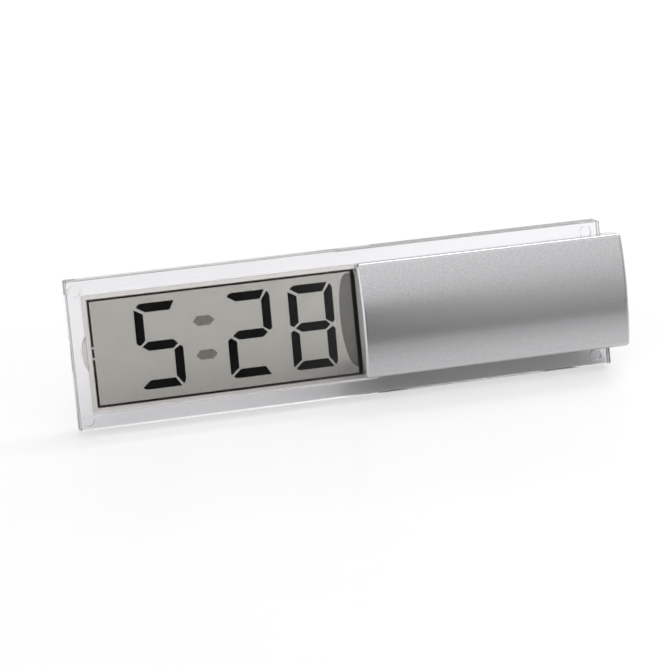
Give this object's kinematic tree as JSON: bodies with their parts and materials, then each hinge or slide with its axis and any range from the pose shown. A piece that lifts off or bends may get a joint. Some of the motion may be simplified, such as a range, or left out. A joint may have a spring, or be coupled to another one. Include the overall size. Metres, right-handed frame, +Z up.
{
  "type": "digital desk clock",
  "caption": "See-through digital desk clock: clear plates round a liquid crystal display, a silver arched cover and a barrel housing with battery door, push buttons and a foot.",
  "frame": {"origin": "centre of the underside of the clock's box, on the table", "axes": "+X to the right along the plates as the viewer sees them, -Y towards the viewer, +Z up"},
  "size_m": [0.1056, 0.0238, 0.0275],
  "materials": {
    "clear_plastic": "clear, polished",
    "polariser_film": "thin grey-green film",
    "display_glass": "flat clear glass",
    "seal_ink": "black printed line",
    "end_glue": "cured clear glue",
    "zebra_rubber": "striped silicone",
    "silver_paint": "satin silver metallic paint on plastic",
    "cell_jacket": "plain printed jacket",
    "nickel_plate": "nickel plated",
    "board_laminate": "green solder mask",
    "black_resin": "cast resin",
    "tan_ceramic": "fired ceramic",
    "switch_plastic": "black nylon",
    "button_plastic": "fine moulded grey"
  },
  "bodies": {
    "clock": {"front_plate": "clear_plastic", "back_plate": "clear_plastic", "display_front_film": "polariser_film", "display_front_glass": "display_glass", "display_seal": "seal_ink", "display_back_glass": "display_glass", "display_back_film": "polariser_film", "display_end_bead": "end_glue", "zebra_strip": "zebra_rubber", "front_cover": "silver_paint", "rear_housing": "silver_paint", "battery_cell": "cell_jacket", "positive_contact": "nickel_plate", "negative_contact": "nickel_plate", "circuit_board": "board_laminate", "chip_blob": "black_resin", "crystal_can": "nickel_plate", "capacitor_left": "tan_ceramic", "capacitor_right": "tan_ceramic", "set_switch": "switch_plastic", "adjust_switch": "switch_plastic"},
    "door": {"battery_door": "silver_paint"},
    "set_key": {"set_button": "button_plastic"},
    "adjust_key": {"adjust_button": "button_plastic"}
  },
  "joints": [
    {"name": "door_slide", "type": "slide", "parent": "clock", "child": "door", "axis": [1, 0, 0], "range_m": [0, 0.044]},
    {"name": "set_press", "type": "slide", "parent": "clock", "child": "set_key", "axis": [0, -0.3256, -0.9455], "range_m": [0, 0.0005], "stiffness_N_per_m": 2000},
    {"name": "adjust_press", "type": "slide", "parent": "clock", "child": "adjust_key", "axis": [0, -0.3256, -0.9455], "range_m": [0, 0.0005], "stiffness_N_per_m": 2000}
  ]
}
